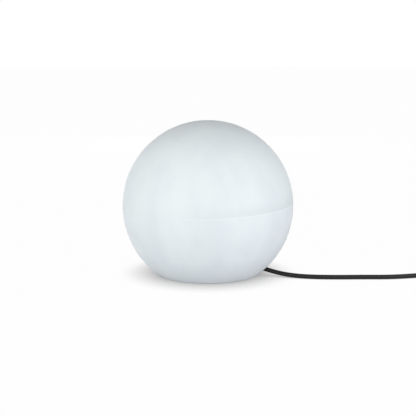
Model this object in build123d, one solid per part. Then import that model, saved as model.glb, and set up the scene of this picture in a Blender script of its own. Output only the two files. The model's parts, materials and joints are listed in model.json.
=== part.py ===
from build123d import *
import math
import os

# A garden globe light. A white moulded ball with a flat foot stands over a black lamp carrier, which holds
# a screw-in lamp and the mains cord. The ball lifts straight up off the carrier, and the lamp unscrews.
# Millimetres, +Z up. The origin is the centre of the ball's flat foot, on the ground. The cord leaves to
# the right, +X, and a little to the front, -Y.

os.makedirs("parts", exist_ok=True)

# The ball
GLOBE_RADIUS = 150.0
FOOT_FLAT_RADIUS = 90.0
GLOBE_WALL = 3.0
FOOT_EDGE_RADIUS = 3.0
RECESS_RADIUS = 70.0
RECESS_EDGE_RADIUS = 2.0
LEDGE_WIDTH = 20.0
BOSS_WALL = 3.5
BOSS_FLOOR = 3.0
SEAM_TILT = 2.2
SEAM_PROUD = 0.2
SEAM_CORD_RADIUS = 0.7
CHANNEL_WIDTH = 12.0
CHANNEL_CLEARANCE = 1.6

# Screws and inserts that hold the carrier in the ball
INSERT_RADIUS = 4.5
INSERT_LENGTH = 12.0
INSERT_GROOVE = 0.5
CARRIER_SCREW_RADIUS = 2.4
CARRIER_SCREW_LENGTH = 14.0
CARRIER_SCREW_HEAD_RADIUS = 4.6
CARRIER_SCREW_HEAD_HEIGHT = 3.3
SCREW_COUNT = 4
SCREW_START_ANGLE = 45.0
SCREW_CLEARANCE = 0.1
HOLE_CLEARANCE = 0.35
DRIVE_RADIUS = 1.3
HEAD_ROUND_SHARE = 0.45

# The lamp carrier: a flange with a cup below it
GASKET_THICKNESS = 2.0
GASKET_INSET = 2.0
FLANGE_THICKNESS = 3.0
FLANGE_CLEARANCE = 3.0
CUP_RADIUS = 36.0
CUP_WALL = 3.0
CUP_FLOOR = 2.5
GLAND_FLOOR_CLEARANCE = 1.5
GLAND_PLATE_CLEARANCE = 0.5
RIB_THICKNESS = 2.5
RIB_HEAD_CLEARANCE = 3.4
RIB_DROP = 14.0
FOOT_HEIGHT = 2.5
FOOT_RADIUS = 5.0
FOOT_CHAMFER = 0.5
POST_RADIUS = 4.0
POST_COUNT = 3
POST_START_ANGLE = 60.0
POST_WALL_GAP = 1.5
PILOT_SPARE = 1.0

# The plate that the lampholder stands on
PLATE_THICKNESS = 1.5
PLATE_CLEARANCE = 0.4
PLATE_SCREW_RADIUS = 1.7
PLATE_SCREW_LENGTH = 9.0
PLATE_SCREW_HEAD_RADIUS = 3.4
PLATE_SCREW_HEAD_HEIGHT = 2.2

# The hollow tube and nut that fix the lampholder
NIPPLE_RADIUS = 5.0
NIPPLE_BORE_RADIUS = 3.6
NIPPLE_DROP = 3.0
NIPPLE_RISE = 5.5
NIPPLE_NUT_WIDTH = 14.0
NIPPLE_NUT_THICKNESS = 2.5
THREADED_CLEARANCE = 0.05

# The lampholder and the knuckle thread of its sleeve
HOLDER_RADIUS = 20.0
HOLDER_BASE_RADIUS = 15.0
HOLDER_WALL = 3.5
HOLDER_FLOOR = 4.5
HOLDER_WIRE_SPACE = 11.0
HOLDER_RIM_RISE = 3.0
HOLDER_RIB_COUNT = 24
HOLDER_RIB_DEPTH = 0.8
INSULATOR_THICKNESS = 6.0
INSULATOR_CLEARANCE = 0.2
SLEEVE_LENGTH = 24.0
SLEEVE_WALL = 0.4
THREAD_RADIUS = 12.65
THREAD_OFFSET = 0.55
THREAD_PITCH = 3.629
THREAD_CLEARANCE = 0.25
THREAD_SECTIONS = 8
CONTACT_STRIP_WIDTH = 7.0
CONTACT_STRIP_THICKNESS = 0.5
CONTACT_STRIP_REACH = 8.0
CONTACT_RISE = 2.0
CONTACT_TIP_HALF = 2.0
CONTACT_RAMP = 3.0
CONTACT_LIP = 2.0
CONTACT_GAP = 0.2
TERMINAL_WIDTH = 6.0
TERMINAL_DEPTH = 7.0
TERMINAL_HEIGHT = 4.5
TERMINAL_OFFSET = 8.5
TERMINAL_SCREW_RADIUS = 1.5
TERMINAL_SCREW_SHIFT = 5.0
TERMINAL_SCREW_LENGTH = 3.5
TERMINAL_HEAD_RADIUS = 2.6
TERMINAL_HEAD_HEIGHT = 1.8

# The lamp
LAMP_RADIUS = 30.0
LAMP_LENGTH = 110.0
LAMP_JOINT_RADIUS = 28.6
CAP_WALL = 0.4
CAP_CONE_LENGTH = 3.5
CAP_TIP_LENGTH = 1.5
CAP_TIP_RADIUS = 4.5
CAP_TIP_CHAMFER = 0.9
CAP_LENGTH = 26.0
CAP_SKIRT_LENGTH = 3.5
CAP_SKIRT_RADIUS = 13.4
CAP_CLEARANCE = 0.1
CAP_PLUG_LENGTH = 2.0
HOUSING_LENGTH = 32.0
HOUSING_WALL = 1.6
HOUSING_NECK_RADIUS = 14.0
HOUSING_NECK_LENGTH = 4.0
HOUSING_SPIGOT_LENGTH = 3.0
DIFFUSER_WALL = 1.2
LED_BOARD_THICKNESS = 1.5
LED_BOARD_CLEARANCE = 0.15
CHIP_LENGTH = 3.5
CHIP_WIDTH = 2.8
CHIP_HEIGHT = 0.7
CHIP_CIRCLE = 16.0
CHIP_COUNT = 12
DRIVER_THICKNESS = 1.6
DRIVER_WIDTH = 20.0
DRIVER_LENGTH = 24.0
CAPACITOR_RADIUS = 4.0
CAPACITOR_LENGTH = 11.0
CAPACITOR_DROP = 6.0
SEAL_HEIGHT = 3.5
SEAL_CLEARANCE = 0.25
SEAL_INSET = 1.0

# The cord and its way out of the carrier
CORD_DIAMETER = 7.8
CABLE_AZIMUTH = -16.0
CORE_RADIUS = 1.3
CORE_SPACING = 3.2
CORE_BEND_RADIUS = 3.0
CORE_RISE = 4.0
CORD_INNER_REACH = 7.25
CORD_EXIT_RUN = 24.5
BEND_SHARE = 0.45

# The gland in the cup's wall, along the cord's way out
GLAND_THREAD_RADIUS = 7.6
GLAND_HEX_WIDTH = 17.0
GLAND_HEX_LENGTH = 5.0
GLAND_PAD_PROUD = 1.5
GLAND_PAD_WIDTH = 24.0
GLAND_PAD_INSET = 1.5
GLAND_FRONT_LENGTH = 8.0
GLAND_FRONT_WALL_CUT = 0.3
GLAND_CLEARANCE = 0.15
GLAND_SEAL_LENGTH = 6.0
GLAND_SEAL_WALL = 1.8
LOCKNUT_THICKNESS = 3.5
GLAND_WASHER_THICKNESS = 1.0
GLAND_NUT_WALL = 1.4
GLAND_NUT_END = 3.0
GLAND_NUT_GAP = 0.7
GLAND_NUT_FLUTES = 12
GLAND_TAIL = 1.0
RELIEF_LENGTH = 13.0
RELIEF_TIP_WALL = 1.2
RELIEF_GROOVES = 3

# The clamp bar inside the cup
CLAMP_SETBACK = 1.25
CLAMP_LENGTH = 6.5
CLAMP_BAR_HEIGHT = 5.5
CLAMP_GAP = 1.0
CLAMP_POST_RADIUS = 3.2
CLAMP_POST_OFFSET = 9.0
CLAMP_SCREW_RADIUS = 1.5
CLAMP_SCREW_LENGTH = 11.0
CLAMP_HEAD_RADIUS = 2.8
CLAMP_HEAD_HEIGHT = 1.4

# The cord put away: a coil in four layers, its tie, and the plug on a short tail
COIL_RADIUS = 54.0
COIL_CENTRE_X = 442.0
COIL_CENTRE_Y = 14.0
COIL_GAP = 0.7
GAP_STEP = 3.0
COIL_HALF_TURNS = 4
COIL_LAYERS = 4
TIE_THICKNESS = 0.9
TIE_WIDTH = 12.0
TIE_CLEARANCE = 0.25
TIE_TAB_LENGTH = 13.0

PLUG_RADIUS = 18.4
PLUG_FLAT = 17.0
PLUG_FACE_LENGTH = 12.0
PLUG_GRIP_LENGTH = 26.0
PLUG_GRIP_WIDTH = 31.0
PLUG_GRIP_HEIGHT = 24.0
PLUG_GRIP_CORNER = 9.0
PLUG_NOTCH_WIDTH = 6.5
PLUG_NOTCH_DEPTH = 2.6
PLUG_INSERT_DEPTH = 2.0
PLUG_INSERT_RADIUS = 15.5
PLUG_INSERT_WALL = 1.6
BOOT_LENGTH = 30.0
BOOT_WIDE_RADIUS = 9.0
BOOT_TIP_RADIUS = 5.4
BOOT_GROOVE_DEPTH = 0.8
BOOT_GROOVE_WIDTH = 1.6
BOOT_GROOVE_COUNT = 5
PIN_RADIUS = 2.4
PIN_LENGTH = 19.0
PIN_SPACING = 19.0
PIN_ROOT = 8.0
PIN_ROOT_RADIUS = 2.0
PIN_TIP_CHAMFER = 0.8
PLUG_HEADING = 99.0
TAIL_REACH = 88.0
TAIL_SHIFT = 8.0
TAIL_END_RUN = 26.0

UP = (Align.CENTER, Align.CENTER, Align.MIN)

# Levels and radii that follow from the sizes above
cord_radius = CORD_DIAMETER / 2
globe_centre = math.sqrt(GLOBE_RADIUS**2 - FOOT_FLAT_RADIUS**2)
neck_radius = RECESS_RADIUS - LEDGE_WIDTH
screw_circle = (neck_radius + RECESS_RADIUS) / 2
cup_floor_top = FOOT_HEIGHT + CUP_FLOOR
inlet_height = cup_floor_top + GLAND_FLOOR_CLEARANCE + GLAND_HEX_WIDTH / 2
plate_low = inlet_height + GLAND_HEX_WIDTH / 2 + GLAND_PLATE_CLEARANCE
plate_top = plate_low + PLATE_THICKNESS
flange_low = plate_low
flange_top = flange_low + FLANGE_THICKNESS
recess_height = flange_top + GASKET_THICKNESS
channel_top = inlet_height + cord_radius + CHANNEL_CLEARANCE
flange_radius = RECESS_RADIUS - FLANGE_CLEARANCE
rib_end = screw_circle - CARRIER_SCREW_HEAD_RADIUS - RIB_HEAD_CLEARANCE
cup_inner = CUP_RADIUS - CUP_WALL
post_circle = cup_inner - POST_RADIUS - POST_WALL_GAP
insulator_low = plate_top + HOLDER_FLOOR + HOLDER_WIRE_SPACE
insulator_top = insulator_low + INSULATOR_THICKNESS
holder_bore = HOLDER_RADIUS - HOLDER_WALL
insulator_radius = holder_bore - INSULATOR_CLEARANCE
sleeve_top = insulator_top + SLEEVE_LENGTH
sleeve_radius = THREAD_RADIUS + THREAD_CLEARANCE
holder_top = sleeve_top + HOLDER_RIM_RISE
lamp_tip = insulator_top + CONTACT_RISE + CONTACT_GAP
lamp_top = lamp_tip + LAMP_LENGTH
cap_cone_low = lamp_tip + CAP_TIP_LENGTH
cap_low = cap_cone_low + CAP_CONE_LENGTH
cap_top = lamp_tip + CAP_LENGTH
housing_top = cap_top + HOUSING_LENGTH
led_board_radius = LAMP_JOINT_RADIUS - HOUSING_WALL - LED_BOARD_CLEARANCE
led_board_low = housing_top - LED_BOARD_THICKNESS
seal_inner = HOUSING_NECK_RADIUS + SEAL_CLEARANCE
gland_face = CUP_RADIUS + GLAND_PAD_PROUD
gland_pad_inner = cup_inner - GLAND_PAD_INSET
gland_hex_start = gland_face + GLAND_WASHER_THICKNESS
gland_hex_end = gland_hex_start + GLAND_HEX_LENGTH
gland_front_end = gland_hex_end + GLAND_FRONT_LENGTH
gland_front_radius = GLAND_THREAD_RADIUS - GLAND_FRONT_WALL_CUT
gland_bore = cord_radius + GLAND_CLEARANCE
gland_thread_start = gland_pad_inner - LOCKNUT_THICKNESS - GLAND_TAIL
clamp_centre = gland_thread_start - CLAMP_SETBACK - CLAMP_LENGTH / 2
cord_inner_start = clamp_centre - CLAMP_LENGTH / 2 - CORD_INNER_REACH
gland_nut_end = gland_front_end + GLAND_NUT_END
cord_exit = gland_nut_end + RELIEF_LENGTH
coil_pitch = CORD_DIAMETER + COIL_GAP
coil_floor = cord_radius + TIE_THICKNESS + TIE_CLEARANCE
clamp_low = inlet_height + CLAMP_GAP / 2
clamp_top = clamp_low + CLAMP_BAR_HEIGHT
face_low = BOOT_LENGTH + PLUG_GRIP_LENGTH
face_top = face_low + PLUG_FACE_LENGTH


# Shapes used by several pieces


def rod(radius, low, high):
    """A round bar along Z."""
    return Pos(0, 0, low) * Cylinder(radius, high - low, align=UP)


def ring(outer, inner, low, high):
    """A round tube along Z."""
    return rod(outer, low, high) - rod(inner, low, high)


def lathe(*points):
    """A solid turned about Z from an outline of (radius, height) points."""
    outline = make_face(Polyline(*[(radius, 0, height) for radius, height in points], close=True))
    return revolve(outline, Axis.Z)


def around(radius, count, start_angle):
    """Places on a circle about Z, each turned to face outwards."""
    return [Rot(0, 0, start_angle + 360 * i / count) * Pos(radius, 0, 0) for i in range(count)]


def towards_cable(shape):
    """Turns a shape from the +X axis on to the side that the cord leaves on."""
    return Rot(0, 0, CABLE_AZIMUTH) * shape


def along_inlet(shape):
    """Lays a shape built along +Z down along the cord's way out of the cup."""
    return towards_cable(Pos(0, 0, inlet_height) * Rot(0, 90, 0) * shape)


def hexagon(width, low, high):
    """A hexagonal bar along Z with two flats facing X once it lies along the inlet."""
    outline = RegularPolygon(width / 2, 6, major_radius=False, rotation=30)
    return Pos(0, 0, low) * extrude(outline, high - low)


def pan_screw(radius, length, head_radius, head_height):
    """A screw with its shank up along +Z from the underside of its head at the origin."""
    head = rod(head_radius, -head_height, 0)
    rim = head.edges().filter_by(GeomType.CIRCLE).sort_by(Axis.Z)[0]
    head = fillet(rim, head_height * HEAD_ROUND_SHARE)
    drive = Pos(0, 0, -head_height) * extrude(
        RegularPolygon(DRIVE_RADIUS * head_radius / CARRIER_SCREW_HEAD_RADIUS, 6), head_height / 2
    )
    return head - drive + rod(radius, 0, length)


def thread_rod(radius, low, high):
    """A round bar with the lamp's knuckle thread: its section stands off the axis and turns with height."""
    count = math.ceil((high - low) / THREAD_PITCH * THREAD_SECTIONS)
    sections = []
    for i in range(count + 1):
        level = low + (high - low) * i / count
        centre = Vector(THREAD_OFFSET, 0, level).rotate(Axis.Z, 360 * level / THREAD_PITCH)
        sections.append(Wire([Edge.make_circle(radius, Plane(centre))]))
    return Solid.make_loft(sections, ruled=True)


def tube(path, radius):
    """A round bar swept along a path."""
    return sweep(Plane(origin=path @ 0, z_dir=path % 0) * Circle(radius), path=path)


def group(solids):
    """Separate like solids kept in one node."""
    return Compound(children=[solid for shape in solids for solid in shape.solids()])


# The ball


def channel_core(width, top, start, end):
    """The space of the cord channel: an arch along the cord's way out, open to the ground."""
    half = width / 2
    arch = make_face(
        [
            Line((-half, -half), (half, -half)),
            Line((half, -half), (half, top - half)),
            ThreePointArc((half, top - half), (0, top), (-half, top - half)),
            Line((-half, top - half), (-half, -half)),
        ]
    )
    upright = Plane(origin=(start, 0, 0), x_dir=(0, 1, 0), z_dir=(1, 0, 0))
    return towards_cable(extrude(upright * arch, end - start))


def globe_shell():
    centre = Pos(0, 0, globe_centre)
    above = Pos(0, 0, 2 * GLOBE_RADIUS)
    outside = centre * Sphere(GLOBE_RADIUS) & above * Box(*[4 * GLOBE_RADIUS] * 3)
    outside -= rod(RECESS_RADIUS, 0, recess_height)
    foot_edges = outside.edges().filter_by(GeomType.CIRCLE).group_by(Axis.Z)[0].sort_by(SortBy.RADIUS)
    outside = fillet(foot_edges[-1], FOOT_EDGE_RADIUS)
    mouth = outside.edges().filter_by(GeomType.CIRCLE).group_by(Axis.Z)[0].sort_by(SortBy.RADIUS)
    outside = fillet(mouth[0], RECESS_EDGE_RADIUS)
    seam_radius = GLOBE_RADIUS + SEAM_PROUD - SEAM_CORD_RADIUS
    outside += centre * Rot(0, -SEAM_TILT, 0) * Torus(seam_radius, SEAM_CORD_RADIUS)

    inside = centre * Sphere(GLOBE_RADIUS - GLOBE_WALL)
    inside &= Pos(0, 0, GLOBE_WALL) * above * Box(*[4 * GLOBE_RADIUS] * 3)
    inside -= rod(RECESS_RADIUS + GLOBE_WALL, 0, recess_height + GLOBE_WALL)
    ceiling = recess_height + GLOBE_WALL
    boss_top = recess_height + INSERT_LENGTH + BOSS_FLOOR
    corners = around(screw_circle, SCREW_COUNT, SCREW_START_ANGLE)
    for corner in corners:
        inside -= corner * rod(INSERT_RADIUS + BOSS_WALL, ceiling, boss_top)
    inside -= channel_core(
        CHANNEL_WIDTH + 2 * GLOBE_WALL, channel_top + GLOBE_WALL, RECESS_RADIUS, GLOBE_RADIUS
    )

    shell = outside - inside - rod(neck_radius, recess_height, ceiling)
    shell -= channel_core(CHANNEL_WIDTH, channel_top, RECESS_RADIUS - GLOBE_WALL, GLOBE_RADIUS)
    for corner in corners:
        shell -= corner * rod(INSERT_RADIUS, recess_height, recess_height + INSERT_LENGTH)
    return shell


def thread_inserts():
    low, high = recess_height, recess_height + INSERT_LENGTH
    insert = ring(INSERT_RADIUS, CARRIER_SCREW_RADIUS + SCREW_CLEARANCE, low, high)
    third = INSERT_LENGTH / 3
    for level in (low + third, low + 2 * third):
        insert -= ring(
            INSERT_RADIUS + INSERT_GROOVE, INSERT_RADIUS - INSERT_GROOVE, level, level + third / 3
        )
    return group(corner * insert for corner in around(screw_circle, SCREW_COUNT, SCREW_START_ANGLE))


# The carrier and what fixes it


def lamp_carrier():
    carrier = ring(flange_radius, cup_inner, flange_low, flange_top)
    carrier += ring(CUP_RADIUS, cup_inner, FOOT_HEIGHT, flange_top)
    carrier += rod(CUP_RADIUS, FOOT_HEIGHT, cup_floor_top)
    for side in around(0, SCREW_COUNT, SCREW_START_ANGLE):
        gusset = make_face(
            Polyline(
                (CUP_RADIUS - CUP_WALL / 2, 0, flange_low),
                (rib_end, 0, flange_low),
                (CUP_RADIUS - CUP_WALL / 2, 0, flange_low - RIB_DROP),
                close=True,
            )
        )
        carrier += side * extrude(gusset, RIB_THICKNESS / 2, dir=(0, 1, 0), both=True)
    pad = Pos((gland_pad_inner + gland_face) / 2, 0, cup_floor_top) * Box(
        gland_face - gland_pad_inner, GLAND_PAD_WIDTH, plate_low - cup_floor_top, align=UP
    )
    carrier += towards_cable(pad)
    for place in around(post_circle, POST_COUNT, POST_START_ANGLE):
        carrier += towards_cable(place * rod(POST_RADIUS, FOOT_HEIGHT, plate_low))
    saddle_top = clamp_low - CLAMP_GAP
    saddle = Pos(clamp_centre, 0, cup_floor_top) * Box(
        CLAMP_LENGTH, 2 * CLAMP_POST_OFFSET, saddle_top - cup_floor_top, align=UP
    )
    for side in (-1, 1):
        saddle += Pos(clamp_centre, side * CLAMP_POST_OFFSET, 0) * rod(
            CLAMP_POST_RADIUS, FOOT_HEIGHT, saddle_top
        )
    carrier += towards_cable(saddle)

    carrier -= along_inlet(rod(gland_bore, 0, cup_inner))
    carrier -= along_inlet(rod(GLAND_THREAD_RADIUS + GLAND_CLEARANCE, gland_thread_start, gland_face))
    hole = CARRIER_SCREW_RADIUS + HOLE_CLEARANCE
    for corner in around(screw_circle, SCREW_COUNT, SCREW_START_ANGLE):
        carrier -= corner * rod(hole, flange_low, flange_top)
    pilot_low = plate_top - PLATE_SCREW_LENGTH - PILOT_SPARE
    for place in around(post_circle, POST_COUNT, POST_START_ANGLE):
        carrier -= towards_cable(place * rod(PLATE_SCREW_RADIUS, pilot_low, plate_low))
    pilot_low = clamp_top - CLAMP_SCREW_LENGTH - PILOT_SPARE
    for side in (-1, 1):
        pilot = Pos(clamp_centre, side * CLAMP_POST_OFFSET, 0) * rod(
            CLAMP_SCREW_RADIUS, pilot_low, saddle_top
        )
        carrier -= towards_cable(pilot)
    return carrier


def carrier_gasket():
    gasket = ring(flange_radius - GASKET_INSET, neck_radius + GASKET_INSET, flange_top, recess_height)
    hole = CARRIER_SCREW_RADIUS + HOLE_CLEARANCE
    for corner in around(screw_circle, SCREW_COUNT, SCREW_START_ANGLE):
        gasket -= corner * rod(hole, flange_top, recess_height)
    return gasket


def carrier_screws():
    screw = pan_screw(
        CARRIER_SCREW_RADIUS, CARRIER_SCREW_LENGTH, CARRIER_SCREW_HEAD_RADIUS, CARRIER_SCREW_HEAD_HEIGHT
    )
    places = around(screw_circle, SCREW_COUNT, SCREW_START_ANGLE)
    return group(place * Pos(0, 0, flange_low) * screw for place in places)


def rubber_feet():
    foot = rod(FOOT_RADIUS, 0, FOOT_HEIGHT)
    foot = chamfer(foot.edges().filter_by(GeomType.CIRCLE).sort_by(Axis.Z)[0], FOOT_CHAMFER)
    return group(towards_cable(place * foot) for place in around(post_circle, POST_COUNT, POST_START_ANGLE))


# The plate, the hollow tube and the lampholder


def holder_plate():
    plate = rod(cup_inner - PLATE_CLEARANCE, plate_low, plate_top)
    plate -= rod(NIPPLE_RADIUS + THREADED_CLEARANCE, plate_low, plate_top)
    for place in around(post_circle, POST_COUNT, POST_START_ANGLE):
        plate -= towards_cable(place * rod(PLATE_SCREW_RADIUS + HOLE_CLEARANCE, plate_low, plate_top))
    return plate


def plate_screws():
    screw = pan_screw(
        PLATE_SCREW_RADIUS - SCREW_CLEARANCE,
        PLATE_SCREW_LENGTH,
        PLATE_SCREW_HEAD_RADIUS,
        PLATE_SCREW_HEAD_HEIGHT,
    )
    places = around(post_circle, POST_COUNT, POST_START_ANGLE)
    return group(towards_cable(place * Pos(0, 0, plate_top) * Rot(180, 0, 0) * screw) for place in places)


def nipple_tube():
    return ring(NIPPLE_RADIUS, NIPPLE_BORE_RADIUS, plate_low - NIPPLE_DROP, plate_top + NIPPLE_RISE)


def nipple_nut():
    low = plate_low - NIPPLE_NUT_THICKNESS
    nut = hexagon(NIPPLE_NUT_WIDTH, low, plate_low)
    return nut - rod(NIPPLE_RADIUS + THREADED_CLEARANCE, low, plate_low)


def lampholder_body():
    waist = insulator_low
    body = lathe(
        (0, plate_top),
        (HOLDER_BASE_RADIUS, plate_top),
        (HOLDER_RADIUS, waist),
        (HOLDER_RADIUS, holder_top),
        (0, holder_top),
    )
    space_low = plate_top + HOLDER_FLOOR
    body -= rod(NIPPLE_RADIUS + THREADED_CLEARANCE, plate_top, space_low)
    body -= lathe(
        (0, space_low),
        (HOLDER_BASE_RADIUS - HOLDER_WALL, space_low),
        (holder_bore - HOLDER_WALL / 2, insulator_low),
        (0, insulator_low),
    )
    body -= rod(holder_bore, insulator_low, holder_top)
    groove_low = insulator_top
    groove = Pos(HOLDER_RADIUS, 0, 0) * rod(HOLDER_RIB_DEPTH, groove_low, holder_top - HOLDER_WALL)
    for turn in range(HOLDER_RIB_COUNT):
        body -= Rot(0, 0, 360 * turn / HOLDER_RIB_COUNT) * groove
    return body


def terminal_places():
    """The two terminals, one each side of the axis, square to the cord's way in."""
    return [towards_cable(Pos(0, side * TERMINAL_OFFSET, insulator_low)) for side in (-1, 1)]


def lampholder_insulator():
    block = rod(insulator_radius, insulator_low, insulator_top)
    depth = TERMINAL_DEPTH + TERMINAL_SCREW_SHIFT / 2
    pocket = Pos(-TERMINAL_SCREW_SHIFT / 2, 0, 0) * Box(
        depth + INSULATOR_CLEARANCE,
        TERMINAL_WIDTH + INSULATOR_CLEARANCE,
        TERMINAL_HEIGHT + INSULATOR_CLEARANCE,
        align=UP,
    )
    for place in terminal_places():
        block -= place * pocket
    return block


def terminal_blocks():
    depth = TERMINAL_DEPTH + TERMINAL_SCREW_SHIFT / 2
    block = Pos(-TERMINAL_SCREW_SHIFT / 2, 0, 0) * Box(depth, TERMINAL_WIDTH, TERMINAL_HEIGHT, align=UP)
    block -= Pos(-TERMINAL_SCREW_SHIFT, 0, 0) * rod(
        TERMINAL_SCREW_RADIUS + THREADED_CLEARANCE, 0, TERMINAL_HEIGHT
    )
    return group(place * block for place in terminal_places())


def terminal_screws():
    screw = rod(TERMINAL_SCREW_RADIUS, 0, TERMINAL_SCREW_LENGTH)
    screw += rod(TERMINAL_HEAD_RADIUS, -TERMINAL_HEAD_HEIGHT, 0)
    slot = Pos(0, 0, -TERMINAL_HEAD_HEIGHT) * Box(
        2 * TERMINAL_HEAD_RADIUS, TERMINAL_HEAD_RADIUS / 3, TERMINAL_HEAD_HEIGHT / 2, align=UP
    )
    screw -= slot
    return group(place * Pos(-TERMINAL_SCREW_SHIFT, 0, 0) * screw for place in terminal_places())


def lampholder_screw_shell():
    outer = thread_rod(sleeve_radius + SLEEVE_WALL, insulator_top, sleeve_top)
    return outer - thread_rod(sleeve_radius, insulator_top, sleeve_top)


def lampholder_centre_contact():
    top = insulator_top + CONTACT_RISE
    half = CONTACT_TIP_HALF
    reach = CONTACT_STRIP_REACH
    thick = CONTACT_STRIP_THICKNESS
    strip = make_face(
        Polyline(
            (-reach, 0, insulator_top),
            (-half - CONTACT_RAMP, 0, insulator_top),
            (-half, 0, top - thick),
            (half, 0, top - thick),
            (half + CONTACT_LIP, 0, insulator_top + thick),
            (half + CONTACT_LIP + thick, 0, insulator_top + thick),
            (half + thick, 0, top),
            (-half - thick / 2, 0, top),
            (-half - CONTACT_RAMP - thick / 2, 0, insulator_top + thick),
            (-reach, 0, insulator_top + thick),
            close=True,
        )
    )
    return towards_cable(extrude(strip, CONTACT_STRIP_WIDTH / 2, dir=(0, 1, 0), both=True))


# The wires inside the carrier


def conductor(side):
    """One core, from the cord's stripped end up the hollow tube to its terminal."""
    aside = side * CORE_SPACING / 2
    turn_low = plate_top + NIPPLE_RISE
    points = [
        Vector(cord_inner_start, aside, inlet_height),
        Vector(0, aside, inlet_height),
        Vector(0, aside, turn_low),
        Vector(0, side * TERMINAL_OFFSET, insulator_low - CORE_RISE),
        Vector(0, side * TERMINAL_OFFSET, insulator_low),
    ]
    return towards_cable(tube(FilletPolyline(*points, radius=CORE_BEND_RADIUS), CORE_RADIUS))


# The gland, built along +Z from the lamp's axis and laid along the inlet


def gland_body():
    body = rod(GLAND_THREAD_RADIUS, gland_thread_start, gland_hex_start)
    body += hexagon(GLAND_HEX_WIDTH, gland_hex_start, gland_hex_end)
    body += rod(gland_front_radius, gland_hex_end, gland_front_end)
    body -= rod(gland_bore, gland_thread_start, gland_front_end)
    seat = gland_front_end - GLAND_SEAL_LENGTH
    body -= rod(gland_bore + GLAND_SEAL_WALL, seat, gland_front_end)
    return along_inlet(body)


def gland_locknut():
    low = gland_pad_inner - LOCKNUT_THICKNESS
    nut = hexagon(GLAND_HEX_WIDTH, low, gland_pad_inner)
    return along_inlet(nut - rod(GLAND_THREAD_RADIUS + THREADED_CLEARANCE, low, gland_pad_inner))


def gland_washer():
    inner = GLAND_THREAD_RADIUS + THREADED_CLEARANCE
    return along_inlet(ring(GLAND_HEX_WIDTH / 2, inner, gland_face, gland_hex_start))


def gland_seal():
    seat = gland_front_end - GLAND_SEAL_LENGTH
    outer = gland_bore + GLAND_SEAL_WALL - THREADED_CLEARANCE
    return along_inlet(ring(outer, cord_radius + THREADED_CLEARANCE, seat, gland_front_end))


def gland_nut():
    start = gland_hex_end + GLAND_NUT_GAP
    nut = rod(gland_front_radius + GLAND_NUT_WALL, start, gland_front_end)
    for flute in around(gland_front_radius + GLAND_NUT_WALL, GLAND_NUT_FLUTES, 0):
        nut -= flute * rod(GLAND_NUT_WALL / 3, start, gland_front_end)
    shoulder = gland_front_radius + GLAND_NUT_WALL
    root = gland_bore + 2 * RELIEF_TIP_WALL
    tip = gland_bore + RELIEF_TIP_WALL
    nut += lathe(
        (0, gland_front_end),
        (shoulder, gland_front_end),
        (root, gland_nut_end),
        (tip, cord_exit),
        (0, cord_exit),
    )
    nut -= rod(gland_front_radius + THREADED_CLEARANCE, start, gland_front_end)
    nut -= rod(gland_bore, gland_front_end, cord_exit)
    spacing = RELIEF_LENGTH / (RELIEF_GROOVES + 1)
    for i in range(RELIEF_GROOVES):
        level = gland_nut_end + spacing * (i + 0.5)
        nut -= ring(shoulder, tip - RELIEF_TIP_WALL / 3, level, level + spacing / 3)
    return along_inlet(nut)


def cord_inner_end():
    return along_inlet(rod(cord_radius, cord_inner_start, cord_exit))


def cord_clamp():
    bar_width = 2 * (CLAMP_POST_OFFSET + CLAMP_POST_RADIUS)
    bar = Pos(clamp_centre, 0, clamp_low) * Box(CLAMP_LENGTH, bar_width, CLAMP_BAR_HEIGHT, align=UP)
    bar = towards_cable(bar) - along_inlet(rod(gland_bore, clamp_centre - CLAMP_LENGTH, gland_face))
    for side in (-1, 1):
        hole = Pos(clamp_centre, side * CLAMP_POST_OFFSET, 0) * rod(
            CLAMP_SCREW_RADIUS + HOLE_CLEARANCE, clamp_low, clamp_top
        )
        bar -= towards_cable(hole)
    return bar


def clamp_screws():
    screw = pan_screw(
        CLAMP_SCREW_RADIUS - SCREW_CLEARANCE, CLAMP_SCREW_LENGTH, CLAMP_HEAD_RADIUS, CLAMP_HEAD_HEIGHT
    )
    places = [Pos(clamp_centre, side * CLAMP_POST_OFFSET, clamp_top) * Rot(180, 0, 0) for side in (-1, 1)]
    return group(towards_cable(place * screw) for place in places)


# The lamp


def housing_radius(height):
    """The outside of the lamp's plastic cone at a height above the ground."""
    cone_low = cap_top + HOUSING_NECK_LENGTH
    share = (height - cone_low) / (housing_top - cone_low)
    return HOUSING_NECK_RADIUS + (LAMP_JOINT_RADIUS - HOUSING_NECK_RADIUS) * max(0, share)


def bulb_seal():
    return ring(HOLDER_RADIUS - SEAL_INSET, seal_inner, holder_top, holder_top + SEAL_HEIGHT)


def bulb_screw_cap():
    thread_top = cap_top - CAP_SKIRT_LENGTH
    shell = thread_rod(THREAD_RADIUS, cap_low, thread_top)
    shell += rod(CAP_SKIRT_RADIUS, thread_top, cap_top)
    shell -= thread_rod(THREAD_RADIUS - CAP_WALL, cap_low, thread_top)
    return shell - rod(THREAD_RADIUS - CAP_WALL, thread_top, cap_top)


def bulb_cap_insulator():
    plug_radius = THREAD_RADIUS - CAP_WALL - THREAD_OFFSET - CAP_CLEARANCE
    return lathe(
        (0, cap_cone_low),
        (CAP_TIP_RADIUS, cap_cone_low),
        (THREAD_RADIUS - THREAD_OFFSET, cap_low),
        (plug_radius, cap_low),
        (plug_radius, cap_low + CAP_PLUG_LENGTH),
        (0, cap_low + CAP_PLUG_LENGTH),
    )


def bulb_centre_contact():
    contact = rod(CAP_TIP_RADIUS, lamp_tip, cap_cone_low)
    return chamfer(contact.edges().filter_by(GeomType.CIRCLE).sort_by(Axis.Z)[0], CAP_TIP_CHAMFER)


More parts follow.
